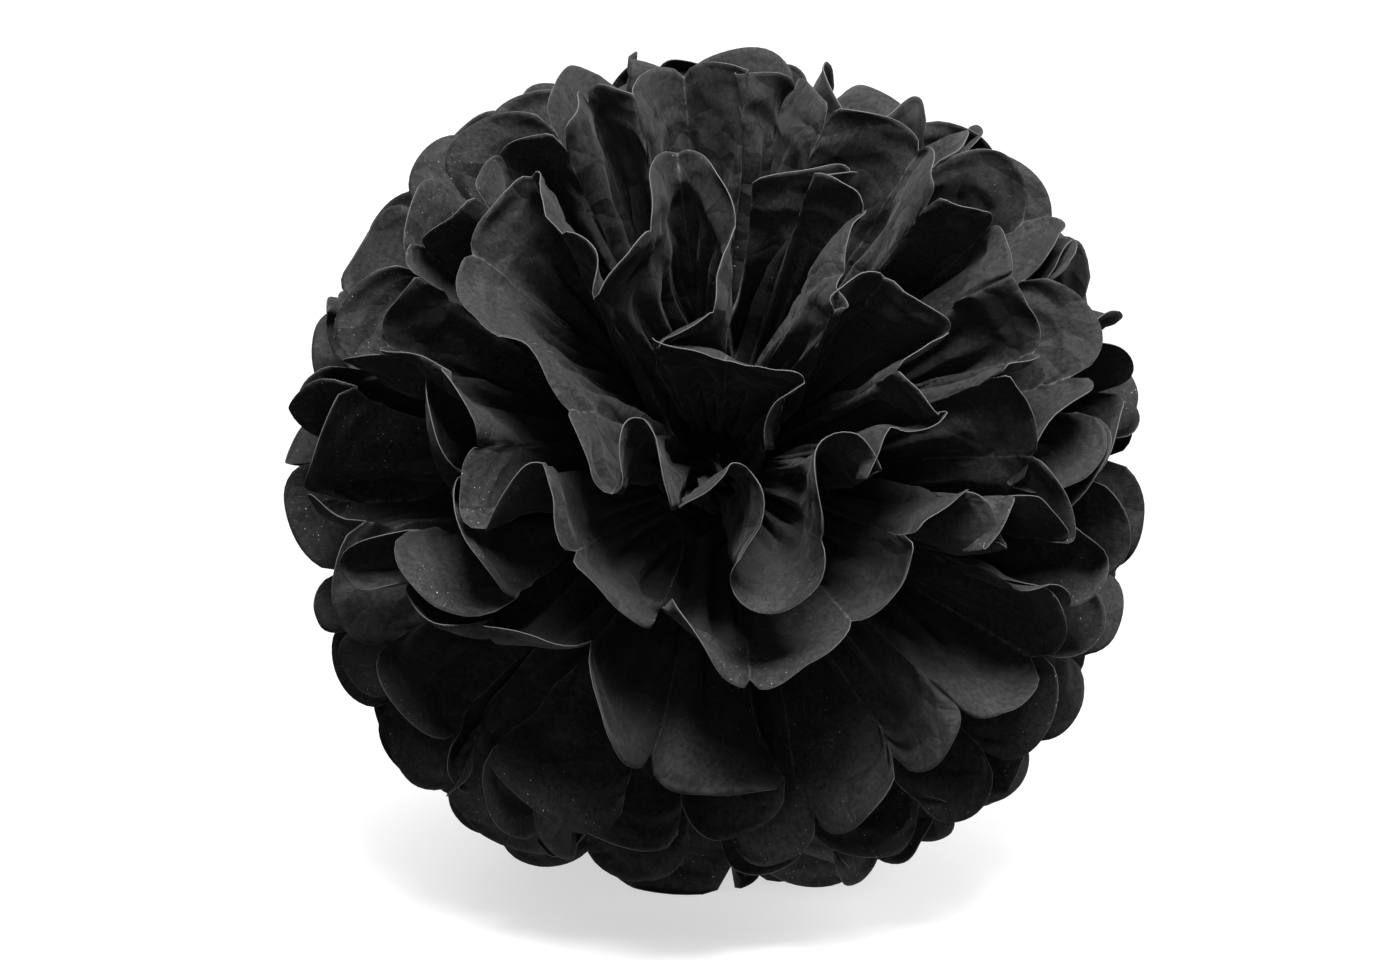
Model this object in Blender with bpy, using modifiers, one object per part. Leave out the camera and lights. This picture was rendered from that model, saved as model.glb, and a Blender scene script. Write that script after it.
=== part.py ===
"""Tissue paper pom pom: ten sheets, pleated, wired round the middle and fluffed into a ball.

Each sheet is one rectangle of tissue, 500 mm across its 16 pleats and 250 mm along them, with the
ends of the pleats cut round. The wire tie pinches all the sheets at the middle of the pleats, and
each half of a sheet is then pulled out of the stack towards the front or the back of the ball.
The ends of the pleats lie on the ball's surface, so a half sheet is drawn there as a curve, its rim,
and the paper runs from the rim straight towards the tie. Directions are unit vectors from the
ball's centre. Right is +X, up is +Z, and the front of the ball faces -Y.
"""

import math
from math import acos, cos, hypot, pi, radians, sin

import bmesh
import bpy
import numpy as np
from mathutils import Vector

# --- driving dimensions, metres and degrees --------------------------------------------------
BALL_RADIUS = 0.125
SHEET_WIDTH = 0.500          # across the pleats
SHEETS = 10
PLEATS = 16
PLEAT_WIDTH = SHEET_WIDTH / PLEATS
PAPER = 0.0003               # drawn thickness of a sheet
# how far the round cut takes a fold below the tip, on each sheet from the front
CUT_DEPTHS = [share * PLEAT_WIDTH for share in (0.12, 0.22) + 8 * (0.38,)]
REST_DEPTH = 0.007           # how far the lowest petals are pressed up by the table
FACING_UP = 15               # the ball's front looks up by this much
FLOWER_TILT = 12             # the pleats' common axis looks up by this much more
SUB = 4                      # steps along the rim for each pleat

# where the paper stands between the tie and the rim, as shares of the ball's radius
GATHERED_AT = (0.12, 0.28, 0.42)
ROWS = len(GATHERED_AT) + 2  # lines of points from the tie to the rim
NECK_WIDTH = 0.009           # the stack of sheets inside the tie
NECK_REACH = 0.0015          # where the outermost sheets of the stack turn out of it
NECK_STAGGER = 0.0006        # how much later each sheet nearer the middle turns
NECK_PITCH = 0.00065         # one sheet to the next in the stack

WIRE_RADIUS = 0.0006
TIE_CLEARANCE = 0.0006
TIE_CORNER = 0.002
TWIST_RADIUS = 0.0008        # from the twisted tail's middle to each strand's
TAIL_LENGTH = 0.009
TAIL_TURNS = 2

CENTRE_HEIGHT = BALL_RADIUS - REST_DEPTH
BLACK = (0.012, 0.012, 0.013, 1)
GREEN = (0.03, 0.09, 0.035, 1)

# The two innermost sheets make the heart of the flower, so the tops of their folds are placed by
# hand: degrees right of and above the ball's front. One list for each half sheet, right then left.
HEART_FOLDS = (
    ((-4, -3.6), (5.8, 1.5), (6, -10.8), (12.8, -5), (11, 8.5), (19.5, -2.5), (17, 9), (29, 7),
     (17.5, 12), (31, 15.5), (20.5, 24), (14.5, 14), (11, 26.5), (21, 35), (10, 39), (20, 48), (8, 49)),
    ((-5, -2.4), (-11.8, 10.5), (-13, -3.5), (-15.3, 10), (-25, 19.5), (-35, 31), (-28, 43), (-23, 30),
     (-17, 20), (-9, 31), (-5, 44), (-0.5, 31.5), (-3, 19), (-11, 13.5), (1.3, 15.5), (9.6, 6), (8.4, -4)),
    ((-8.5, -19.5), (4.8, -25.3), (17.5, -19), (25.5, -7.3), (35.5, -1.5), (37, -14.5), (39.5, -2.5),
     (47.5, -14), (42, -0.5), (37.5, 13.5), (50, 17), (38, 27), (46, 39), (31, 39), (33, 53), (21, 55),
     (17, 66)),
    ((-9.3, -20.4), (-19.8, -10.5), (-22, 3.7), (-30.5, -7.5), (-27, 6), (-39, 10.5), (-51, 18.5),
     (-40, 27), (-50, 36), (-37, 42), (-40, 55), (-27, 53), (-24, 66), (-13, 57), (-6, 67), (1, 56),
     (6, 67)),
)


# --- rims: curves on a unit sphere, one for each half sheet ------------------------------------
def unit(vectors):
    return vectors / np.linalg.norm(vectors, axis=-1, keepdims=True)


def front_direction(right, above):
    """Direction for a place given in degrees right of and above the ball's front."""
    angle = hypot(right, above)
    reach = sin(radians(angle)) / angle
    return np.array((reach * right, reach * above, cos(radians(angle))))


def ring_direction(polar, azimuth):
    """Direction at a polar angle and an azimuth about the flower's axis."""
    x, y, z = sin(polar) * cos(azimuth), sin(polar) * sin(azimuth), cos(polar)
    tilt = radians(FLOWER_TILT)
    return np.array((x, y * cos(tilt) + z * sin(tilt), z * cos(tilt) - y * sin(tilt)))


def along(corners):
    """SUB even steps between each two corners."""
    steps = np.arange(PLEATS * SUB + 1) / SUB
    low = np.minimum(steps.astype(int), PLEATS - 1)
    share = (steps - low)[:, None]
    return unit(corners[low] * (1 - share) + corners[low + 1] * share)


def fan(polar, zigzag):
    """The right and left halves of one sheet, pleated about a ring round the flower's axis."""
    halves = []
    for side in (1, -1):
        corners = []
        for fold in range(PLEATS + 1):
            swing = radians(-85 + 170 * fold / PLEATS)
            azimuth = swing if side > 0 else pi - swing
            corners.append(ring_direction(polar + (zigzag if fold % 2 == 0 else -zigzag), azimuth))
        halves.append(along(np.array(corners)))
    return halves


def tidy_rims():
    """The rims before fluffing: the heart's folds, and even pleats on the rest of the ball."""
    rims = [along(np.array([front_direction(*fold) for fold in half])) for half in HEART_FOLDS]
    heart = (1 - cos(radians(56))) / 2           # share of the sphere that the heart's sheets cover
    others = SHEETS - 2
    for ring in range(others):
        polar = acos(1 - 2 * (heart + (1 - heart) * (ring + 0.5) / others))
        rims += fan(polar, radians(5))
    return np.array(rims)


def crossed(rims):
    """Which segments of the rims cross another segment."""
    count, points, _ = rims.shape
    start, end = rims[:, :-1].reshape(-1, 3), rims[:, 1:].reshape(-1, 3)
    rim = np.repeat(np.arange(count), points - 1)
    place = np.tile(np.arange(points - 1), count)
    near = start @ start.T > cos(0.35)
    joined = (rim[:, None] == rim[None, :]) & (abs(place[:, None] - place[None, :]) <= 1)
    normal = np.cross(start, end)
    split = (normal @ start.T) * (normal @ end.T) < -1e-14
    return (split & split.T & near & ~joined).any(axis=1).reshape(count, points - 1)


def crossed_points(rims):
    """Which points of the rims lie on a crossing, of the curves or of the straight folds' chords."""
    marks = np.zeros(rims.shape[:2], bool)
    segments = crossed(rims)
    marks[:, :-1] |= segments
    marks[:, 1:] |= segments
    chords = np.repeat(crossed(rims[:, ::SUB]), SUB, axis=1)
    marks[:, :-1] |= chords
    marks[:, 1:] |= chords
    return marks


def widened(marks, steps):
    """Marks the neighbours of the marked points too."""
    for _ in range(steps):
        grown = marks.copy()
        grown[:, 1:] |= marks[:, :-1]
        grown[:, :-1] |= marks[:, 1:]
        marks = grown
    return marks


def hold_length(rims, segment):
    """Pulls the points of each rim back to their true distance apart."""
    for _ in range(14):
        for first in (0, 1):
            right = rims[:, first + 1::2]
            left = rims[:, first:-1:2][:, :right.shape[1]]
            gap = right - left
            length = np.linalg.norm(gap, axis=-1, keepdims=True)
            shift = 0.5 * (1 - segment / np.maximum(length, 1e-6)) * gap
            span = 2 * right.shape[1]
            rims[:, first:first + span:2] += shift
            rims[:, first + 1:first + 1 + span:2] -= shift
        rims = unit(rims)
    return rims


def settle(rims, segment_at, steps, pull):
    """Lets the rims spread apart at a fixed length, and never through one another.

    Gives the rims after each step. segment_at(share) is the segment length of each rim, and
    pull(rims, share) is what moves them apart from their pushing on each other.
    """
    count, points, _ = rims.shape
    rim = np.repeat(np.arange(count), points)
    place = np.tile(np.arange(points), count)
    own = (rim[:, None] == rim[None, :]) & (abs(place[:, None] - place[None, :]) <= 4)
    reach, touch = 0.22, 0.10
    history = [rims]
    for step in range(steps):
        share = (step + 1) / steps
        flat = rims.reshape(-1, 3)
        apart = np.sqrt(np.maximum(2 - 2 * (flat @ flat.T), 1e-8))
        close = (apart < reach) & ~own
        push = 0.010 * np.maximum(0, 1 - apart / reach) ** 2 + 0.020 * np.maximum(0, 1 - apart / touch) ** 2
        push = np.where(close, push / apart, 0.0)
        move = (push.sum(1)[:, None] * flat - push @ flat).reshape(rims.shape) + pull(rims, share)
        size = np.linalg.norm(move, axis=-1, keepdims=True)
        move *= np.minimum(1, 0.008 / np.maximum(size, 1e-9))
        moved = hold_length(unit(rims + move), segment_at(share)[:, None, None])
        for widening in range(1, 8):
            marks = crossed_points(moved)
            if not marks.any():
                break
            marks = widened(marks, widening)
            moved[marks] = rims[marks]
        if crossed_points(moved).any():
            moved = rims
        rims = np.round(moved, 7)
        history.append(rims)
    return history


def fluffed_rims():
    """The rims on the ball's surface."""
    rims = tidy_rims()
    rng = np.random.default_rng(4)
    full = PLEAT_WIDTH / BALL_RADIUS / SUB
    short = np.linalg.norm(np.diff(rims, axis=1), axis=-1).mean(1)
    folds = np.arange(rims.shape[1]) % SUB == 0
    stiffness = np.where(folds, 0.05, 0.30)[None, 1:-1, None]
    drift = np.repeat(rng.normal(size=(len(rims), PLEATS + 1, 3)), SUB, axis=1)[:, :rims.shape[1]]
    for _ in range(3):
        drift[:, 1:-1] = 0.25 * drift[:, :-2] + 0.5 * drift[:, 1:-1] + 0.25 * drift[:, 2:]
    heart = len(HEART_FOLDS)
    drift[:heart] = 0
    goal = rims[:heart, ::SUB].copy()

    def pull(now, share):
        force = 0.005 * min(1, (1 - share) / 0.2) * drift
        force[:, 1:-1] += stiffness * (now[:, :-2] + now[:, 2:] - 2 * now[:, 1:-1])
        force[:heart, ::SUB] += 0.30 * (goal - now[:heart, ::SUB])
        return force

    return settle(rims, lambda share: short + (full - short) * min(1, share / 0.8), 90, pull)[-1]


def gathered_rims(rims):
    """The rims drawn together step by step into plain nested half rings, as they enter the tie."""
    polar = [radians(25 + 130 * sheet / (SHEETS - 1)) for sheet in range(SHEETS)]
    nested = np.array([half for angle in polar for half in fan(angle, 0)])
    segment = np.linalg.norm(np.diff(nested, axis=1), axis=-1).mean(1)
    full = np.linalg.norm(np.diff(rims, axis=1), axis=-1).mean(1)

    def pull(now, share):
        force = (0.03 + 0.2 * share) * (nested - now)
        force[:, 1:-1] += 0.30 * (now[:, :-2] + now[:, 2:] - 2 * now[:, 1:-1])
        return force

    return settle(rims, lambda share: full + (segment - full) * min(1, share / 0.65), 150, pull)


# --- sheets ------------------------------------------------------------------------------------
def to_world(direction):
    """Turns right, above and towards-the-viewer into the world's axes."""
    lift = radians(FACING_UP)
    right, above, front = direction
    return Vector((right, above * sin(lift) - front * cos(lift), above * cos(lift) + front * sin(lift)))


def rim_reach(rng):
    """How far each fold of a half sheet comes short of the ball's surface."""
    return BALL_RADIUS * (1 - 0.035 * rng.random(PLEATS + 1))


def neck_point(sheet, across, side):
    """Where a line of a sheet leaves the tie: a flat stack of bands, one sheet on the next."""
    level = ((SHEETS - 1) / 2 - sheet) * NECK_PITCH
    spread = (across / PLEATS - 0.5) * NECK_WIDTH
    tilt = radians(FLOWER_TILT)
    above = spread * cos(tilt) + level * sin(tilt)
    front = level * cos(tilt) - spread * sin(tilt)
    reach = NECK_REACH + NECK_STAGGER * min(sheet, SHEETS - 1 - sheet)
    return to_world((side * reach, above, front))


def paper_point(history, reach, sheet, across, row):
    """A point of a sheet: across its pleats, and by rows from the left rim to the right one."""
    side = 1 if row > 0 else -1
    half = 2 * sheet + (0 if side > 0 else 1)
    if abs(row) == 1:
        return neck_point(sheet, across, side)
    if abs(row) < ROWS:
        share = GATHERED_AT[abs(row) - 2]
        step = round((len(history) - 1) * (GATHERED_AT[-1] - share) / (GATHERED_AT[-1] - GATHERED_AT[0]))
        return to_world(history[step][half][round(across) * SUB]) * share * BALL_RADIUS
    low = min(int(across), PLEATS - 1)
    share = across - low
    fold_reach = reach[half][low] * (1 - share) + reach[half][low + 1] * share
    cut = CUT_DEPTHS[sheet] * (1 - math.sqrt(1 - (2 * share - 1) ** 2))
    return to_world(history[0][half][round(across * SUB)]) * (fold_reach - cut)


def fold_sheet(name, history, reach, sheet):
    """A flat grid of paper, its ends divided finely for the round cut, folded into its place."""
    bm = bmesh.new()
    bmesh.ops.create_grid(bm, x_segments=PLEATS, y_segments=2 * ROWS - 1, size=1)
    ends = [edge for edge in bm.edges if all(abs(vert.co.y) > 0.999 for vert in edge.verts)]
    bmesh.ops.subdivide_edges(bm, edges=ends, cuts=SUB - 1)
    for vert in bm.verts:
        across = (vert.co.x + 1) / 2 * PLEATS
        line = round((vert.co.y + 1) / 2 * (2 * ROWS - 1))
        row = line - ROWS if line < ROWS else line - ROWS + 1
        vert.co = paper_point(history, reach, sheet, across, row) + Vector((0, 0, CENTRE_HEIGHT))
    lay_tips_down(bm)
    bmesh.ops.triangulate(bm, faces=bm.faces)    # so that both sides of the paper bend alike
    mesh = bpy.data.meshes.new(name)
    bm.to_mesh(mesh)
    bm.free()
    return mesh


def lay_tips_down(bm):
    """Bends what would go through the table flat onto it, along the way each tip faces."""
    floor = PAPER / 2
    for depth in (0, 0.001):
        bmesh.ops.bisect_plane(bm, geom=bm.verts[:] + bm.edges[:] + bm.faces[:],
                               plane_co=(0, 0, floor - depth), plane_no=(0, 0, 1))
    bm.normal_update()
    for vert in [vert for vert in bm.verts if vert.co.z < floor]:
        outward = Vector((vert.co.x, vert.co.y, 0))
        facing = Vector((vert.normal.x, vert.normal.y, 0)).normalized()
        if facing.dot(outward) < 0:
            facing.negate()
        depth = floor - vert.co.z
        vert.co += facing * depth
        vert.co.z = floor


def add_to_ball(name, data, material, collection):
    part = bpy.data.objects.new(name, data)
    data.materials.append(material)
    collection.objects.link(part)
    return part


def add_sheets(history, material, collection):
    rng = np.random.default_rng(11)
    reach = [rim_reach(rng) for _ in range(2 * SHEETS)]
    for sheet in range(SHEETS):
        name = f"sheet_{sheet + 1:02d}"
        part = add_to_ball(name, fold_sheet(name, history, reach, sheet), material, collection)
        paper = part.modifiers.new("paper", "SOLIDIFY")
        paper.thickness = PAPER
        paper.offset = 0


# --- wire tie ----------------------------------------------------------------------------------
def arc(centre, radius, start, turn, steps=5):
    """Points of an arc in the tie's plane, by its centre, start angle and turn in degrees."""
    angles = [radians(start + turn * step / steps) for step in range(steps + 1)]
    return [(centre[0] + radius * cos(angle), centre[1] + radius * sin(angle), 0) for angle in angles]


def tie_route():
    """Round the stack and back along its own tail: (across the stack, towards the front, right)."""
    half_across = NECK_WIDTH / 2 + TIE_CLEARANCE + WIRE_RADIUS
    half_deep = (SHEETS - 1) / 2 * NECK_PITCH + TIE_CLEARANCE + WIRE_RADIUS
    bend = 0.001
    twist = []
    steps = 9 * TAIL_TURNS
    for step in range(steps + 1):
        angle = 2 * pi * TAIL_TURNS * step / steps
        depth = half_deep + bend + TAIL_LENGTH * step / steps
        twist.append((TWIST_RADIUS * cos(angle), -depth, TWIST_RADIUS * sin(angle)))
    into_loop = arc((TWIST_RADIUS + bend, -half_deep - bend), bend, 180, -90)
    side = half_across - TIE_CORNER
    deep = half_deep - TIE_CORNER
    loop = arc((side, -deep), TIE_CORNER, -90, 90) + arc((side, deep), TIE_CORNER, 0, 90)
    half = twist[:0:-1] + into_loop + loop
    back = [(-across, front, -right if abs(front) > half_deep + bend else right)
            for across, front, right in reversed(half)]
    return half + back


def add_tie(material, collection):
    """Soft wire wound once round the stack, its ends twisted together behind it."""
    tilt = radians(FLOWER_TILT)
    curve = bpy.data.curves.new("wire_tie", "CURVE")
    curve.dimensions = "3D"
    curve.bevel_depth = WIRE_RADIUS
    curve.bevel_resolution = 2
    curve.use_fill_caps = True
    route = tie_route()
    spline = curve.splines.new("POLY")
    spline.points.add(len(route) - 1)
    for point, (across, front, right) in zip(spline.points, route):
        place = to_world((right, across * cos(tilt) + front * sin(tilt), front * cos(tilt) - across * sin(tilt)))
        point.co = (place.x, place.y, place.z + CENTRE_HEIGHT, 1)
    add_to_ball("wire_tie", curve, material, collection)


def finish_material(name, colour, roughness):
    material = bpy.data.materials.new(name)
    material.use_nodes = True
    surface = material.node_tree.nodes["Principled BSDF"]
    surface.inputs["Base Color"].default_value = colour
    surface.inputs["Roughness"].default_value = roughness
    surface.inputs["Metallic"].default_value = 0
    return material


def main():
    for thing in list(bpy.data.objects):
        bpy.data.objects.remove(thing, do_unlink=True)
    collection = bpy.data.collections.new("tissue_pom_pom")
    bpy.context.scene.collection.children.link(collection)
    history = gathered_rims(fluffed_rims())
    add_sheets(history, finish_material("black_tissue", BLACK, 0.85), collection)
    add_tie(finish_material("wrapped_wire", GREEN, 0.6), collection)


main()
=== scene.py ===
"""Black tissue paper pom pom: ten pleated sheets, pulled out from a wire tie into a ball of petals.

Each sheet is one flat grid of paper, 500 mm across its pleats and 250 mm along them. The first half
of this script works out where the ends of the pleats lie on the ball, in unit vectors from its
centre, with the same steps as the frame's own solids. The second half lays the paper from the tie
out to those rims, with its wrinkles, curls and round-cut ends.
"""

from math import acos, cos, hypot, pi, radians, sin

import bmesh
import bpy
import numpy as np
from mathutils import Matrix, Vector


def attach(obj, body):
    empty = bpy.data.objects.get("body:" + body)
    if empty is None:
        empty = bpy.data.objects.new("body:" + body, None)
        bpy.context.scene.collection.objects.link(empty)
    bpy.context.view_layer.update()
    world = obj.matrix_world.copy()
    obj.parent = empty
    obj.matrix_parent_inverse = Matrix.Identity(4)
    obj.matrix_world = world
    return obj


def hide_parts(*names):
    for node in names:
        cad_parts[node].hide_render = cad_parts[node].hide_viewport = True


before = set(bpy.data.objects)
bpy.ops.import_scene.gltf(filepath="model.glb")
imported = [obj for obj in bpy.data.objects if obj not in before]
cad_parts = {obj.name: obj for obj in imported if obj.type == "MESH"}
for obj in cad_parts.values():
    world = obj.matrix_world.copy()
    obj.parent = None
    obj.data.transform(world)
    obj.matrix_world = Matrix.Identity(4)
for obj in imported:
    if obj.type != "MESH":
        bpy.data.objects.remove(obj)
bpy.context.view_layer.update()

# --- dimensions, metres and degrees ------------------------------------------------------------
BALL_RADIUS = 0.125
SHEET_WIDTH = 0.500          # across the pleats
SHEETS = 10
PLEATS = 16
PLEAT_WIDTH = SHEET_WIDTH / PLEATS
PAPER = 0.00022              # drawn thickness, for tissue of about 0.03 mm
HEART_SHEETS = 2             # the innermost sheets, whose folds are listed one by one
CUT_DEPTHS = [share * PLEAT_WIDTH                # round cut, from tip to fold
              for share in (0.12, 0.22) + (SHEETS - HEART_SHEETS) * (0.38,)]
REST_DEPTH = 0.007           # how far the lowest petals are pressed up by the table
FACING_UP = 15               # the ball's front looks up by this much
FLOWER_TILT = 12             # the pleats' common axis looks up by this much more
HEART_SPREAD = 56            # from that axis to the edge of the heart's sheets
PLEAT_SWING = 5              # how far each fold stands from its ring, before fluffing
STEEPEST_CURL = 65           # of a petal's tip, from its straight way out
SUB = 4                      # steps along the rim for each pleat
GATHERED, OPEN = 0.12, 0.42  # shares of the radius between which the pleats spread apart
NECK_WIDTH = 0.009           # the stack of sheets inside the tie
NECK_REACH = 0.0015          # from the middle of the tie to where the outermost sheets start to open
NECK_STAGGER = 0.0006        # how much further out each sheet nearer the middle of the stack starts
NECK_PITCH = 0.00065         # from one sheet of the stack to the next
CENTRE_HEIGHT = BALL_RADIUS - REST_DEPTH

CAMERA_LIFT = 15             # how far the camera looks down
FINE = 16                    # grid steps across each pleat
INNER = np.linspace(GATHERED, OPEN, 10)[:-1]     # rows of the grid, as shares of the radius
OUTER = np.concatenate((np.linspace(OPEN, 0.86, 17)[:-1], np.linspace(0.86, 1, 14)))

# Tops of the folds of the two innermost sheets, which make the heart of the flower: degrees right
# of and above the ball's front. One list for each half sheet, right then left.
HEART_FOLDS = (
    ((-4, -3.6), (5.8, 1.5), (6, -10.8), (12.8, -5), (11, 8.5), (19.5, -2.5), (17, 9), (29, 7),
     (17.5, 12), (31, 15.5), (20.5, 24), (14.5, 14), (11, 26.5), (21, 35), (10, 39), (20, 48), (8, 49)),
    ((-5, -2.4), (-11.8, 10.5), (-13, -3.5), (-15.3, 10), (-25, 19.5), (-35, 31), (-28, 43), (-23, 30),
     (-17, 20), (-9, 31), (-5, 44), (-0.5, 31.5), (-3, 19), (-11, 13.5), (1.3, 15.5), (9.6, 6), (8.4, -4)),
    ((-8.5, -19.5), (4.8, -25.3), (17.5, -19), (25.5, -7.3), (35.5, -1.5), (37, -14.5), (39.5, -2.5),
     (47.5, -14), (42, -0.5), (37.5, 13.5), (50, 17), (38, 27), (46, 39), (31, 39), (33, 53), (21, 55),
     (17, 66)),
    ((-9.3, -20.4), (-19.8, -10.5), (-22, 3.7), (-30.5, -7.5), (-27, 6), (-39, 10.5), (-51, 18.5),
     (-40, 27), (-50, 36), (-37, 42), (-40, 55), (-27, 53), (-24, 66), (-13, 57), (-6, 67), (1, 56),
     (6, 67)),
)


# --- rims: curves on a unit sphere, one for each half sheet ------------------------------------
def unit(vectors):
    """The same directions, at length one."""
    return vectors / np.linalg.norm(vectors, axis=-1, keepdims=True)


def front_direction(right, above):
    """Direction for a place given in degrees right of and above the ball's front."""
    angle = hypot(right, above)
    reach = sin(radians(angle)) / angle
    return np.array((reach * right, reach * above, cos(radians(angle))))


def ring_direction(polar, azimuth):
    """Direction at a polar angle and an azimuth about the flower's axis."""
    x, y, z = sin(polar) * cos(azimuth), sin(polar) * sin(azimuth), cos(polar)
    tilt = radians(FLOWER_TILT)
    return np.array((x, y * cos(tilt) + z * sin(tilt), z * cos(tilt) - y * sin(tilt)))


def along(corners):
    """SUB even steps between each two corners."""
    steps = np.arange(PLEATS * SUB + 1) / SUB
    low = np.minimum(steps.astype(int), PLEATS - 1)
    share = (steps - low)[:, None]
    return unit(corners[low] * (1 - share) + corners[low + 1] * share)


def fan(polar, zigzag):
    """The right and left halves of one sheet, pleated about a ring round the flower's axis."""
    halves = []
    for side in (1, -1):
        corners = []
        for fold in range(PLEATS + 1):
            swing = radians(-85 + 170 * fold / PLEATS)
            azimuth = swing if side > 0 else pi - swing
            corners.append(ring_direction(polar + (zigzag if fold % 2 == 0 else -zigzag), azimuth))
        halves.append(along(np.array(corners)))
    return halves


def tidy_rims():
    """The rims before fluffing: the heart's folds, and even pleats on the rest of the ball."""
    rims = [along(np.array([front_direction(*fold) for fold in half])) for half in HEART_FOLDS]
    heart = (1 - cos(radians(HEART_SPREAD))) / 2  # share of the sphere that the heart's sheets cover
    others = SHEETS - HEART_SHEETS
    for ring in range(others):
        polar = acos(1 - 2 * (heart + (1 - heart) * (ring + 0.5) / others))
        rims += fan(polar, radians(PLEAT_SWING))
    return np.array(rims)


def crossed(rims):
    """Which segments of the rims cross another segment."""
    count, points, _ = rims.shape
    start, end = rims[:, :-1].reshape(-1, 3), rims[:, 1:].reshape(-1, 3)
    rim = np.repeat(np.arange(count), points - 1)
    place = np.tile(np.arange(points - 1), count)
    near = start @ start.T > cos(0.35)
    joined = (rim[:, None] == rim[None, :]) & (abs(place[:, None] - place[None, :]) <= 1)
    normal = np.cross(start, end)
    split = (normal @ start.T) * (normal @ end.T) < -1e-14
    return (split & split.T & near & ~joined).any(axis=1).reshape(count, points - 1)


def crossed_points(rims):
    """Which points of the rims lie on a crossing, of the curves or of the straight folds' chords."""
    marks = np.zeros(rims.shape[:2], bool)
    segments = crossed(rims)
    marks[:, :-1] |= segments
    marks[:, 1:] |= segments
    chords = np.repeat(crossed(rims[:, ::SUB]), SUB, axis=1)
    marks[:, :-1] |= chords
    marks[:, 1:] |= chords
    return marks


def widened(marks, steps):
    """Marks the neighbours of the marked points too."""
    for _ in range(steps):
        grown = marks.copy()
        grown[:, 1:] |= marks[:, :-1]
        grown[:, :-1] |= marks[:, 1:]
        marks = grown
    return marks


def hold_length(rims, segment):
    """Pulls the points of each rim back to their true distance apart."""
    for _ in range(14):
        for first in (0, 1):
            right = rims[:, first + 1::2]
            left = rims[:, first:-1:2][:, :right.shape[1]]
            gap = right - left
            length = np.linalg.norm(gap, axis=-1, keepdims=True)
            shift = 0.5 * (1 - segment / np.maximum(length, 1e-6)) * gap
            span = 2 * right.shape[1]
            rims[:, first:first + span:2] += shift
            rims[:, first + 1:first + 1 + span:2] -= shift
        rims = unit(rims)
    return rims


def settle(rims, segment_at, steps, pull):
    """Lets the rims spread apart at a fixed length, and never through one another.

    Gives the rims after each step. segment_at(share) is the segment length of each rim, and
    pull(rims, share) is what moves them apart from their pushing on each other.
    """
    count, points, _ = rims.shape
    rim = np.repeat(np.arange(count), points)
    place = np.tile(np.arange(points), count)
    own = (rim[:, None] == rim[None, :]) & (abs(place[:, None] - place[None, :]) <= 4)
    reach, touch = 0.22, 0.10
    history = [rims]
    for step in range(steps):
        share = (step + 1) / steps
        flat = rims.reshape(-1, 3)
        apart = np.sqrt(np.maximum(2 - 2 * (flat @ flat.T), 1e-8))
        close = (apart < reach) & ~own
        push = 0.010 * np.maximum(0, 1 - apart / reach) ** 2 + 0.020 * np.maximum(0, 1 - apart / touch) ** 2
        push = np.where(close, push / apart, 0.0)
        move = (push.sum(1)[:, None] * flat - push @ flat).reshape(rims.shape) + pull(rims, share)
        size = np.linalg.norm(move, axis=-1, keepdims=True)
        move *= np.minimum(1, 0.008 / np.maximum(size, 1e-9))
        moved = hold_length(unit(rims + move), segment_at(share)[:, None, None])
        for widening in range(1, 8):
            marks = crossed_points(moved)
            if not marks.any():
                break
            marks = widened(marks, widening)
            moved[marks] = rims[marks]
        if crossed_points(moved).any():
            moved = rims
        rims = np.round(moved, 7)
        history.append(rims)
    return history


def fluffed_rims():
    """The rims on the ball's surface."""
    rims = tidy_rims()
    rng = np.random.default_rng(4)
    full = PLEAT_WIDTH / BALL_RADIUS / SUB
    short = np.linalg.norm(np.diff(rims, axis=1), axis=-1).mean(1)
    folds = np.arange(rims.shape[1]) % SUB == 0
    stiffness = np.where(folds, 0.05, 0.30)[None, 1:-1, None]
    drift = np.repeat(rng.normal(size=(len(rims), PLEATS + 1, 3)), SUB, axis=1)[:, :rims.shape[1]]
    for _ in range(3):
        drift[:, 1:-1] = 0.25 * drift[:, :-2] + 0.5 * drift[:, 1:-1] + 0.25 * drift[:, 2:]
    heart = len(HEART_FOLDS)
    drift[:heart] = 0
    goal = rims[:heart, ::SUB].copy()

    def pull(now, share):
        force = 0.005 * min(1, (1 - share) / 0.2) * drift
        force[:, 1:-1] += stiffness * (now[:, :-2] + now[:, 2:] - 2 * now[:, 1:-1])
        force[:heart, ::SUB] += 0.30 * (goal - now[:heart, ::SUB])
        return force

    return settle(rims, lambda share: short + (full - short) * min(1, share / 0.8), 90, pull)[-1]


def gathered_rims(rims):
    """The rims drawn together step by step into plain nested half rings, as they enter the tie."""
    polar = [radians(25 + 130 * sheet / (SHEETS - 1)) for sheet in range(SHEETS)]
    nested = np.array([half for angle in polar for half in fan(angle, 0)])
    segment = np.linalg.norm(np.diff(nested, axis=1), axis=-1).mean(1)
    full = np.linalg.norm(np.diff(rims, axis=1), axis=-1).mean(1)

    def pull(now, share):
        force = (0.03 + 0.2 * share) * (nested - now)
        force[:, 1:-1] += 0.30 * (now[:, :-2] + now[:, 2:] - 2 * now[:, 1:-1])
        return force

    return settle(rims, lambda share: full + (segment - full) * min(1, share / 0.65), 150, pull)


# --- paper: the grid of one half sheet, from the tie out to its rim ----------------------------
ACROSS = np.linspace(0, PLEATS, PLEATS * FINE + 1)
PANEL = np.minimum(ACROSS.astype(int), PLEATS - 1)
SHARE = ACROSS - PANEL


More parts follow.
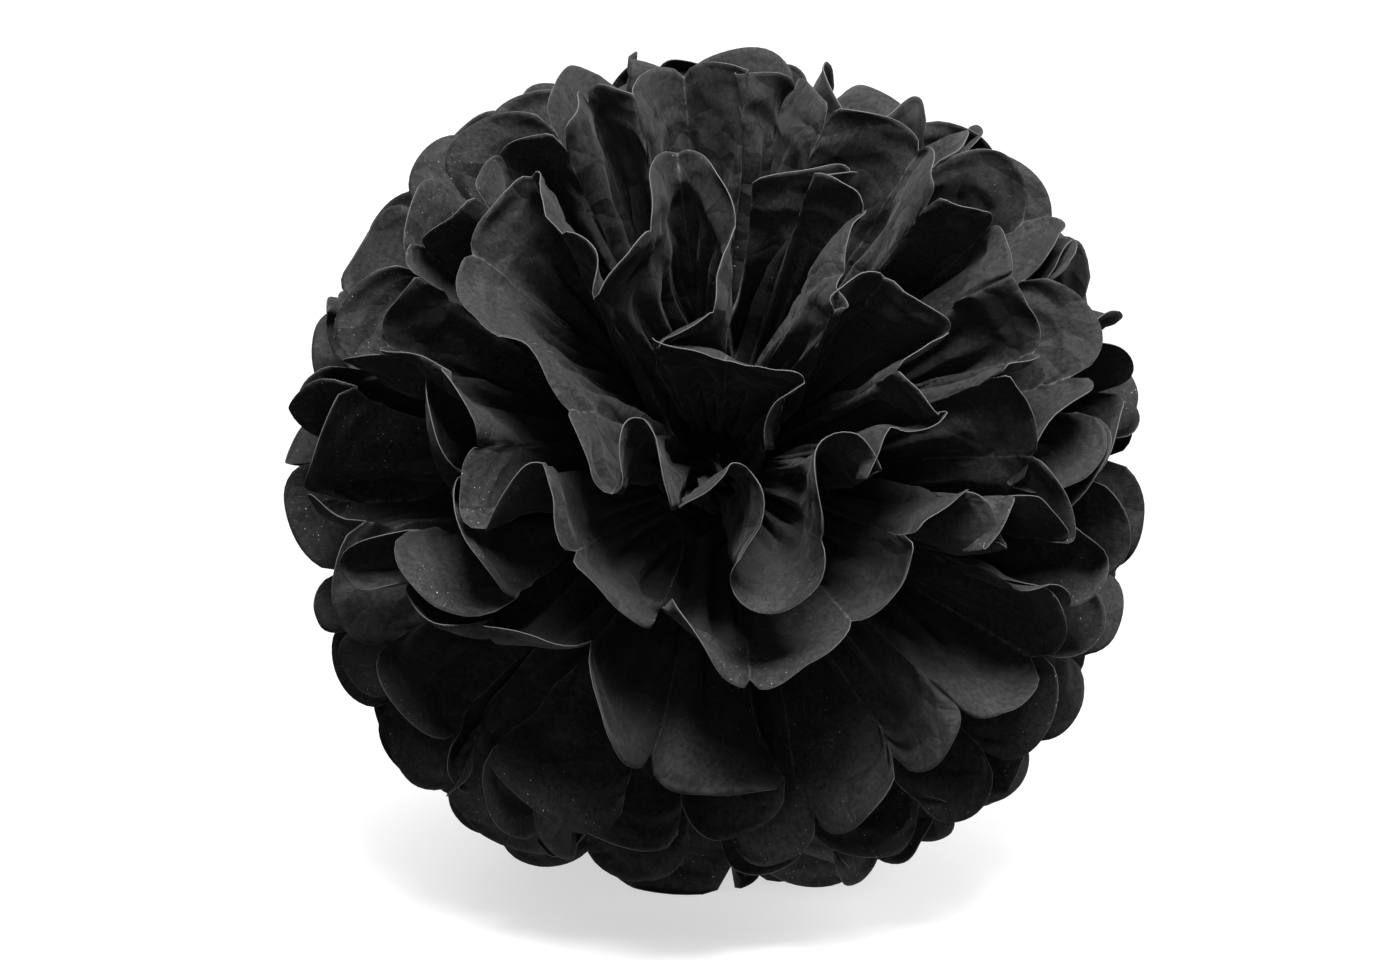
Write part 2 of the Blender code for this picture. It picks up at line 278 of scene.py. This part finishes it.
def ease(values, start, end):
    """0 before start, 1 after end, and smooth between."""
    share = np.clip((values - start) / (end - start), 0, 1)
    return share * share * (3 - 2 * share)


def panel_weights():
    """Weights that carry a rim's points to the finer grid: smooth in a pleat, creased at a fold."""
    slopes = np.zeros((SUB + 1, SUB + 1))
    slopes[0, :3] = (-1.5, 2, -0.5)
    slopes[SUB, SUB - 2:] = (0.5, -2, 1.5)
    for point in range(1, SUB):
        slopes[point, point - 1], slopes[point, point + 1] = -0.5, 0.5
    weights = np.zeros((len(ACROSS), PLEATS * SUB + 1))
    for line, (panel, share) in enumerate(zip(PANEL, SHARE)):
        low = min(int(share * SUB), SUB - 1)
        t = share * SUB - low
        row = slopes[low] * (t ** 3 - 2 * t ** 2 + t) + slopes[low + 1] * (t ** 3 - t ** 2)
        row[low] += 2 * t ** 3 - 3 * t ** 2 + 1
        row[low + 1] += 3 * t ** 2 - 2 * t ** 3
        weights[line, panel * SUB:panel * SUB + SUB + 1] = row
    return weights


def rounding():
    """Weights that even out a rim's points with their neighbours, and keep its ends."""
    weights = np.eye(PLEATS * SUB + 1)
    inner = np.arange(1, PLEATS * SUB)
    weights[inner, inner] = 0.5
    weights[inner, inner - 1] = weights[inner, inner + 1] = 0.25
    return weights


def spline_weights(places, cells):
    """Cubic B-spline weights for places from 0 to 1 on a row of cells + 3 knots."""
    at = np.clip(places, 0, 1) * cells
    low = np.minimum(at.astype(int), cells - 1)
    t = at - low
    weights = np.zeros((len(places), cells + 3))
    parts = ((1 - t) ** 3, 3 * t ** 3 - 6 * t ** 2 + 4, -3 * t ** 3 + 3 * t ** 2 + 3 * t + 1, t ** 3)
    for offset, part in enumerate(parts):
        weights[np.arange(len(places)), low + offset] = part / 6
    return weights


def soft_noise(rng, along_places, along_cells, across_cells):
    """Smooth noise of about unit size over the rows and columns of a half sheet."""
    knots = rng.normal(size=(along_cells + 3, across_cells + 3))
    rows = spline_weights(along_places, along_cells)
    columns = spline_weights(ACROSS / PLEATS, across_cells)
    return 2.1 * rows @ knots @ columns.T


def neck_line(sheet, side):
    """Where a half sheet leaves the tie: a flat stack of bands, one sheet on the next."""
    level = ((SHEETS - 1) / 2 - sheet) * NECK_PITCH
    spread = (ACROSS / PLEATS - 0.5) * NECK_WIDTH
    tilt = radians(FLOWER_TILT)
    reach = NECK_REACH + NECK_STAGGER * min(sheet, SHEETS - 1 - sheet)
    right = np.full(len(ACROSS), side * reach)
    return np.stack((right, spread * cos(tilt) + level * sin(tilt),
                     level * cos(tilt) - spread * sin(tilt)), -1)


def round_cut(depth, lean):
    """How far the cut end lies below the ball's surface. lean shifts each tip towards one of its folds."""
    place = np.where(PANEL % 2 == 0, SHARE, 1 - SHARE)
    from_tip = np.where(place < lean, (lean - place) / max(lean, 1e-6), (place - lean) / max(1 - lean, 1e-6))
    return depth * (1 - np.sqrt(np.maximum(0, 1 - from_tip ** 2)))


def half_sheet(history, weights, rng, sheet, side, reach, tip_lean):
    """Points of a half sheet by row and column, and how far each is from the cut end."""
    half = 2 * sheet + (0 if side > 0 else 1)
    heart = sheet < HEART_SHEETS
    for _ in range(3 if sheet == 0 else 2 if heart else 0):      # the heart's folds open into curves
        weights = weights @ rounding()
    rim = unit(weights @ history[0][half])
    length = BALL_RADIUS * np.interp(ACROSS, np.arange(PLEATS + 1), reach)
    length -= round_cut(CUT_DEPTHS[sheet], tip_lean)

    last = len(history) - 1
    directions = []
    for share in INNER:
        step = last * (OPEN - share) / (OPEN - GATHERED)
        low = min(int(step), last - 1)
        mixed = history[low][half] * (low + 1 - step) + history[low + 1][half] * (step - low)
        directions.append(unit(weights @ mixed))
    directions = np.array(directions + [rim] * len(OUTER))
    distance = np.concatenate((
        np.repeat(INNER[:, None] * BALL_RADIUS, len(ACROSS), axis=1),
        OPEN * BALL_RADIUS + (OUTER[:, None] - OPEN) / (1 - OPEN) * (length - OPEN * BALL_RADIUS)))
    share = distance / BALL_RADIUS
    rows = np.linspace(0, 1, len(distance))

    # the way each pleat faces, and the way the whole ring of pleats faces
    tangent = np.gradient(directions, axis=1)
    tangent[:, 1:-1] = (tangent[:, :-2] + tangent[:, 1:-1] + tangent[:, 2:]) / 3
    facing = side * unit(np.cross(tangent, directions))
    wide = tangent.copy()
    for _ in range(14):
        wide[:, 2:-2] = (wide[:, :-4] + wide[:, 1:-3] + wide[:, 2:-2] + wide[:, 3:-1] + wide[:, 4:]) / 5
    outward = side * unit(np.cross(wide, directions))

    # the pleats lean one way or another, and their tips curl
    lean = (6 if heart else 11) * soft_noise(rng, rows[:1], 1, 11)[0]
    curl = (18 if heart else 30) * soft_noise(rng, rows[:1], 1, 26)[0]
    bend = lean * ease(OUTER, 0.5, 1)[:, None] + curl * ease(OUTER, 0.84, 1)[:, None]
    angle = np.radians(np.clip(bend, -STEEPEST_CURL, STEEPEST_CURL))
    points = directions * distance[..., None]
    first = len(INNER)
    step = np.diff(distance[first:], axis=0)[..., None]
    turn = (angle[1:] + angle[:-1])[..., None] / 2
    bent = step * (np.cos(turn) * directions[first:-1] + np.sin(turn) * outward[first:-1])
    points[first + 1:] = points[first] + np.cumsum(bent, axis=0)

    # pleats: folds stand out and in by turns, and each panel between them is cupped
    even = np.where(PANEL % 2 == 0, 1 - 2 * SHARE, 2 * SHARE - 1)
    uneven = np.interp(ACROSS, np.arange(PLEATS + 1), rng.uniform(0.4, 1.5, PLEATS + 1))
    zigzag = (0.0005 if heart else 0.0052) * uneven * ease(share, 0.25, 1)
    points += outward * (zigzag * even)[..., None]
    cups = rng.normal(0, 0.0016, PLEATS)[PANEL] * np.sin(pi * SHARE)
    points += facing * (cups * ease(share, 0.5, 0.95))[..., None]

    # gathered wrinkles, deeper towards the tie, where the same width of paper has less room
    extra = np.minimum(1.3, 0.85 * np.maximum(0, 1 / share - 1.2))
    slope = np.sqrt(2 * ((1 + extra) ** 2 - 1))
    wave = PLEAT_WIDTH * share / 2
    strength = np.clip(1 + 0.35 * soft_noise(rng, rows, 3, 40), 0.2, 1.8)
    height = np.minimum(slope * wave / (2 * pi), (0.062 if heart else 0.042) * distance) * strength
    drift = 0.11 * soft_noise(rng, rows, 2, 30)
    wrinkle = height * np.sin(2 * pi * 2 * (ACROSS + drift))
    fine = (0.034 if heart else 0.019) * distance * (1 - ease(share, 0.45, 0.8))
    wrinkle += fine * np.sin(2 * pi * 4.5 * ACROSS + 3 * drift)

    # creases from handling, and small dents
    crumple = 0.0008 * abs(soft_noise(rng, rows, 9, 34)) + 0.0004 * abs(soft_noise(rng, rows, 18, 70))
    crumple += 0.0001 * soft_noise(rng, rows, 30, 120)
    points += facing * (wrinkle + crumple * ease(share, 0.3, 0.8))[..., None]

    # the side edges of the two halves lap over each other next to the tie, and meet at the rim
    from_side = np.minimum(ACROSS, PLEATS - ACROSS)
    points[..., 0] -= side * 0.0045 * np.exp(-(from_side / 0.8) ** 2) * (1 - ease(share, 0.25, 0.6))
    ends = history[0][half ^ 1][[0, -1]] - history[0][half][[0, -1]]
    apart = np.linalg.norm(ends, axis=-1, keepdims=True) * BALL_RADIUS
    ends *= BALL_RADIUS * np.minimum(0.56, 0.015 / apart)
    meet = np.exp(-(np.stack((ACROSS, PLEATS - ACROSS), -1) / 1.1) ** 2)
    points += (meet @ ends) * ease(share, 0.3, 0.85)[..., None]

    # from the flat stack inside the tie out to the first gathered row
    points = np.concatenate((neck_line(sheet, side)[None], points))
    distance = np.concatenate((np.full((1, len(ACROSS)), 0.004), distance))
    return points, distance, length - distance


def to_world(points):
    """Turns right, above and in front into the world's axes, with the ball standing on the table."""
    lift = radians(FACING_UP)
    right, above, front = points[..., 0], points[..., 1], points[..., 2]
    return np.stack((right, above * sin(lift) - front * cos(lift),
                     CENTRE_HEIGHT + above * cos(lift) + front * sin(lift)), -1)


def rest_on_table(points):
    """Bends what would go through the table flat onto it, outwards from under the ball."""
    depth = np.maximum(0, PAPER - points[..., 2])
    outward = points[..., :2] / np.maximum(np.linalg.norm(points[..., :2], axis=-1, keepdims=True), 0.004)
    points[..., :2] += outward * depth[..., None]
    points[..., 2] = np.maximum(points[..., 2], PAPER + 0.03 * depth)
    return points


def sheet_mesh(name, history, weights, rng, sheet, reach):
    """One flat grid of paper, carried to its folded and fluffed place."""
    tip_lean = 0.86 if sheet == 1 else 0.5 + rng.uniform(-0.2, 0.2)
    right, right_along, right_cut = half_sheet(history, weights, rng, sheet, 1, reach[0], tip_lean)
    left, left_along, left_cut = half_sheet(history, weights, rng, sheet, -1, reach[1], tip_lean)
    points = rest_on_table(to_world(np.concatenate((left[::-1], right))))
    lengthwise = np.concatenate((-left_along[::-1], right_along))
    from_cut = np.concatenate((left_cut[::-1], right_cut))

    bm = bmesh.new()
    rows, columns = points.shape[0] - 1, points.shape[1] - 1
    bmesh.ops.create_grid(bm, x_segments=columns, y_segments=rows, size=1)
    mesh = bpy.data.meshes.new(name)
    bm.to_mesh(mesh)
    bm.free()
    flat = np.empty(len(mesh.vertices) * 3)
    mesh.vertices.foreach_get("co", flat)
    flat = flat.reshape(-1, 3)
    column = np.rint((flat[:, 0] + 1) / 2 * columns).astype(int)
    row = np.rint((flat[:, 1] + 1) / 2 * rows).astype(int)
    mesh.vertices.foreach_set("co", points[row, column].ravel())

    # the paper's own flat coordinates, in metres, and the distance from its cut ends
    corner = np.empty(len(mesh.loops), int)
    mesh.loops.foreach_get("vertex_index", corner)
    on_sheet = np.stack((ACROSS[column] * PLEAT_WIDTH, lengthwise[row, column]), -1)
    mesh.uv_layers.new(name="flat_sheet").data.foreach_set("uv", on_sheet[corner].ravel())
    edge = mesh.attributes.new("from_cut", "FLOAT", "POINT")
    edge.data.foreach_set("value", from_cut[row, column])

    mesh.polygons.foreach_set("use_smooth", np.ones(len(mesh.polygons), bool))
    ends = np.empty(len(mesh.edges) * 2, int)
    mesh.edges.foreach_get("vertices", ends)
    ends = ends.reshape(-1, 2)
    on_fold = (column[ends[:, 0]] == column[ends[:, 1]]) & (column[ends[:, 0]] % FINE == 0)
    from_tie = abs(lengthwise[row[ends[:, 0]], column[ends[:, 0]]])
    creased = (sheet >= HEART_SHEETS) & on_fold & (from_tie > 0.5 * BALL_RADIUS)
    sharp = mesh.attributes.new("sharp_edge", "BOOLEAN", "EDGE")
    sharp.data.foreach_set("value", creased)
    mesh.update()
    return mesh


# --- materials ---------------------------------------------------------------------------------
def linear(code):
    """Linear RGBA for an sRGB hex code."""
    values = [int(code[place:place + 2], 16) / 255 for place in (0, 2, 4)]
    return [v / 12.92 if v <= 0.04045 else ((v + 0.055) / 1.055) ** 2.4 for v in values] + [1]


def add(tree, kind, inputs=None, **settings):
    """Adds a node, sets its properties, and sets or links its inputs by name or number."""
    node = tree.nodes.new(kind)
    for key, value in settings.items():
        setattr(node, key, value)
    for key, value in (inputs or {}).items():
        socket = node.inputs[key]
        if isinstance(value, bpy.types.NodeSocket):
            tree.links.new(value, socket)
        else:
            socket.default_value = value
    return node


def new_material(name):
    """A new material, its node tree, and the Principled BSDF in it."""
    material = bpy.data.materials.new(name)
    material.use_nodes = True
    tree = material.node_tree
    return material, tree, tree.nodes["Principled BSDF"]


def tissue(name, dark, pale, edge):
    """Black tissue paper: matt, with clumped fibres, soft creases, paler cut ends as a painted highlight,
    and paler folds.
    """
    material, tree, surface = new_material(name)
    flat = add(tree, "ShaderNodeUVMap", uv_map="flat_sheet").outputs["UV"]
    solid = add(tree, "ShaderNodeTexCoord").outputs["Object"]

    clumps = add(tree, "ShaderNodeTexNoise", {"Vector": flat, "Scale": 620, "Detail": 5, "Roughness": 0.68})
    stretched = add(tree, "ShaderNodeMapping", {"Vector": flat, "Scale": (2600, 520, 1)})
    fibres = add(tree, "ShaderNodeTexNoise", {"Vector": stretched.outputs[0], "Scale": 1, "Detail": 3,
                                              "Roughness": 0.6, "Distortion": 0.8})
    clouds = add(tree, "ShaderNodeTexNoise", {"Vector": solid, "Scale": 32, "Detail": 2})
    mix = add(tree, "ShaderNodeMath", {0: clumps.outputs[0], 1: 0.6}, operation="MULTIPLY")
    mix = add(tree, "ShaderNodeMath", {0: fibres.outputs[0], 1: 0.4, 2: mix.outputs[0]},
              operation="MULTIPLY_ADD")
    mottle = add(tree, "ShaderNodeMapRange", {"Value": mix.outputs[0], "From Min": 0.38, "From Max": 0.66})
    shade = add(tree, "ShaderNodeMapRange", {"Value": clouds.outputs[0], "From Min": 0.3, "From Max": 0.7,
                                             "To Min": 0.55, "To Max": 1.25})
    colour = add(tree, "ShaderNodeMix", {"Factor": mottle.outputs[0], 6: dark, 7: pale}, data_type="RGBA")
    colour = add(tree, "ShaderNodeVectorMath", {0: colour.outputs[2], "Scale": shade.outputs[0]},
                 operation="SCALE")

    # painted highlight: paler along the cut ends, where the fibres that stand up catch light; paler along
    # the folds too
    from_cut = add(tree, "ShaderNodeAttribute", attribute_name="from_cut").outputs["Fac"]
    frayed = add(tree, "ShaderNodeMath", {0: clumps.outputs[0], 1: 0.0011, 2: from_cut},
                 operation="MULTIPLY_ADD")
    at_cut = add(tree, "ShaderNodeMapRange", {"Value": frayed.outputs[0], "From Min": 0.0003,
                                              "From Max": 0.0007, "To Min": 1, "To Max": 0})
    across = add(tree, "ShaderNodeSeparateXYZ", {0: flat}).outputs[0]
    from_fold = add(tree, "ShaderNodeMath", {0: across, 1: PLEAT_WIDTH / 2}, operation="PINGPONG")
    at_fold = add(tree, "ShaderNodeMapRange", {"Value": from_fold.outputs[0], "From Min": 0,
                                               "From Max": 0.0005, "To Min": 0.45, "To Max": 0})
    cut_highlight_and_pale_folds = add(tree, "ShaderNodeMath", {0: at_cut.outputs[0], 1: at_fold.outputs[0]}, operation="MAXIMUM")
    cut_highlight_and_pale_folds = add(tree, "ShaderNodeMath", {0: cut_highlight_and_pale_folds.outputs[0], 1: mottle.outputs[0]}, operation="MULTIPLY")
    # mix in the pale grey: painted highlight at the cut ends, a plain paler colour at the folds
    colour = add(tree, "ShaderNodeMix", {"Factor": cut_highlight_and_pale_folds.outputs[0], 6: colour.outputs[0], 7: edge},
                 data_type="RGBA")

    # pale specks of lint, here and there
    lint = add(tree, "ShaderNodeTexNoise", {"Vector": flat, "Scale": 1500, "Detail": 1})
    lint = add(tree, "ShaderNodeMapRange", {"Value": lint.outputs[0], "From Min": 0.72, "From Max": 0.78})
    linty = add(tree, "ShaderNodeTexNoise", {"Vector": solid, "Scale": 18, "Detail": 2})
    linty = add(tree, "ShaderNodeMapRange", {"Value": linty.outputs[0], "From Min": 0.50, "From Max": 0.66})
    specks = add(tree, "ShaderNodeMath", {0: lint.outputs[0], 1: linty.outputs[0]}, operation="MULTIPLY")
    colour = add(tree, "ShaderNodeMix", {"Factor": specks.outputs[0], 6: colour.outputs[2],
                                         7: linear("a8a8a8")}, data_type="RGBA")
    tree.links.new(colour.outputs[2], surface.inputs["Base Color"])

    # soft creases from handling, and the paper's fine grain
    bent = add(tree, "ShaderNodeTexNoise", {"Vector": flat, "Scale": 60, "Detail": 2})
    warped = add(tree, "ShaderNodeVectorMath", {0: bent.outputs["Color"], 1: (0.012, 0.012, 0), 2: flat},
                 operation="MULTIPLY_ADD")
    cells = add(tree, "ShaderNodeTexVoronoi", {"Vector": warped.outputs[0], "Scale": 75},
                feature="DISTANCE_TO_EDGE", voronoi_dimensions="2D")
    height = add(tree, "ShaderNodeMath", {0: clumps.outputs[0], 1: 0.07, 2: cells.outputs[0]},
                 operation="MULTIPLY_ADD")
    height = add(tree, "ShaderNodeMath", {0: fibres.outputs[0], 1: 0.03, 2: height.outputs[0]},
                 operation="MULTIPLY_ADD")
    bump = add(tree, "ShaderNodeBump", {"Strength": 0.8, "Distance": 0.0022, "Height": height.outputs[0]})
    tree.links.new(bump.outputs[0], surface.inputs["Normal"])
    surface.inputs["Roughness"].default_value = 0.78
    surface.inputs["Specular IOR Level"].default_value = 0.22
    surface.inputs["Sheen Weight"].default_value = 0.03
    surface.inputs["Sheen Roughness"].default_value = 0.45
    return material


def wrapped_wire(name, dark, pale):
    """Florist's wire, wound in a narrow strip of green paper."""
    material, tree, surface = new_material(name)
    solid = add(tree, "ShaderNodeTexCoord").outputs["Object"]
    turns = add(tree, "ShaderNodeTexWave", {"Vector": solid, "Scale": 260, "Distortion": 2, "Detail": 2},
                bands_direction="DIAGONAL")
    grain = add(tree, "ShaderNodeTexNoise", {"Vector": solid, "Scale": 3000, "Detail": 3})
    mix = add(tree, "ShaderNodeMath", {0: turns.outputs["Fac"], 1: grain.outputs[0]}, operation="MULTIPLY")
    colour = add(tree, "ShaderNodeMix", {"Factor": mix.outputs[0], 6: dark, 7: pale}, data_type="RGBA")
    tree.links.new(colour.outputs[2], surface.inputs["Base Color"])
    bump = add(tree, "ShaderNodeBump", {"Strength": 0.6, "Distance": 0.0001, "Height": turns.outputs["Fac"]})
    tree.links.new(bump.outputs[0], surface.inputs["Normal"])
    surface.inputs["Roughness"].default_value = 0.65
    return material


def plain(name, colour, roughness):
    """One even, nearly dull colour, for the paper's cut thickness, too thin to show any grain. There it is a
    painted highlight: mid grey, paler than the black paper, where the cut edges catch light.
    """
    material, tree, surface = new_material(name)
    surface.inputs["Base Color"].default_value = colour
    surface.inputs["Roughness"].default_value = roughness
    surface.inputs["Specular IOR Level"].default_value = 0.1
    return material


# --- the ball ----------------------------------------------------------------------------------
def add_sheets():
    """The ten sheets, each of one grid, folded, fluffed and given the paper's thickness."""
    # the pale greys 6a6a6a for the cut ends and 505050 for the cut thickness are painted highlight, where
    # the cut edges catch light
    paper = tissue("black_tissue_paper", linear("080809"), linear("2b2b2c"), linear("6a6a6a"))
    cut = plain("black_tissue_cut_end_highlight", linear("505050"), 0.8)
    history = gathered_rims(fluffed_rims())
    weights = panel_weights()
    reaches = np.random.default_rng(11)
    reach = [1 - 0.035 * reaches.random(PLEATS + 1) for _ in range(2 * SHEETS)]
    for sheet in range(SHEETS):
        name = f"tissue_{sheet + 1:02d}"
        rng = np.random.default_rng(100 + sheet)
        mesh = sheet_mesh(name, history, weights, rng, sheet, reach[2 * sheet:2 * sheet + 2])
        mesh.materials.append(paper)
        mesh.materials.append(cut)
        piece = bpy.data.objects.new(name, mesh)
        bpy.context.scene.collection.objects.link(piece)
        thick = piece.modifiers.new("thickness", "SOLIDIFY")
        thick.thickness = PAPER
        thick.offset = 0
        # the rim faces of the thickness take the cut material, the painted highlight along the cut edges
        thick.material_offset_rim = 1
        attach(piece, "root")
        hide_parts(f"sheet_{sheet + 1:02d}")


def add_room():
    """White background, the white table close round the ball, and soft lights above it."""
    bm = bmesh.new()
    bmesh.ops.create_grid(bm, x_segments=1, y_segments=1, size=1)
    mesh = bpy.data.meshes.new("table")
    bm.to_mesh(mesh)
    bm.free()
    white, tree, surface = new_material("white_table")
    surface.inputs["Base Color"].default_value = (0.6, 0.6, 0.6, 1)
    surface.inputs["Roughness"].default_value = 0.8
    surface.inputs["Emission Color"].default_value = (1, 1, 1, 1)
    surface.inputs["Emission Strength"].default_value = 0.6
    place = add(tree, "ShaderNodeTexCoord").outputs["Object"]
    away = add(tree, "ShaderNodeVectorMath", {0: place}, operation="LENGTH").outputs["Value"]
    shown = add(tree, "ShaderNodeMapRange", {"Value": away, "From Min": 0.05, "From Max": 0.17,
                                             "To Min": 1, "To Max": 0}, interpolation_type="SMOOTHSTEP")
    tree.links.new(shown.outputs[0], surface.inputs["Alpha"])
    mesh.materials.append(white)
    table = bpy.data.objects.new("table", mesh)
    bpy.context.scene.collection.objects.link(table)

    world = bpy.data.worlds.new("white_room")
    world.use_nodes = True
    tree = world.node_tree
    seen = add(tree, "ShaderNodeLightPath").outputs["Is Camera Ray"]
    strength = add(tree, "ShaderNodeMapRange", {"Value": seen, "To Min": 0.02, "To Max": 1.2})
    tree.links.new(strength.outputs[0], tree.nodes["Background"].inputs["Strength"])
    tree.nodes["Background"].inputs["Color"].default_value = (1, 1, 1, 1)
    bpy.context.scene.world = world

    for name, place, size, power in (
            ("overhead", (0.08, -0.45, 1.15), 0.6, 53), ("side", (1.0, 0.25, 0.5), 0.6, 9),
            ("front", (-0.1, -1.2, 0.3), 0.7, 3.2), ("back", (-0.3, 1.1, 0.7), 0.8, 5)):
        light = bpy.data.lights.new(name, "AREA")
        light.size = size
        light.energy = power
        lamp = bpy.data.objects.new(name, light)
        lamp.location = place
        towards_ball = Vector((0, 0, CENTRE_HEIGHT)) - Vector(place)
        lamp.rotation_euler = towards_ball.to_track_quat("-Z", "Y").to_euler()
        bpy.context.scene.collection.objects.link(lamp)


def add_camera():
    """A long lens in front of the ball, looking a little down on it."""
    lift = radians(CAMERA_LIFT)
    back = Vector((0, -cos(lift), sin(lift)))    # the camera is one metre back from its aim
    above = Vector((0, sin(lift), cos(lift)))
    aim = Vector((0, 0, CENTRE_HEIGHT)) - 0.0052 * Vector((1, 0, 0)) - 0.0019 * above
    data = bpy.data.cameras.new("camera")
    data.lens = 90.5
    camera = bpy.data.objects.new("camera", data)
    camera.location = aim + back
    camera.rotation_euler = (-back).to_track_quat("-Z", "Y").to_euler()
    bpy.context.scene.collection.objects.link(camera)
    bpy.context.scene.camera = camera
    bpy.context.scene.view_settings.view_transform = "Standard"


add_sheets()
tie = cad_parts["wire_tie"]
tie.data.materials.clear()
tie.data.materials.append(wrapped_wire("green_wrapped_wire", linear("1d3a20"), linear("3c6640")))
add_room()
add_camera()
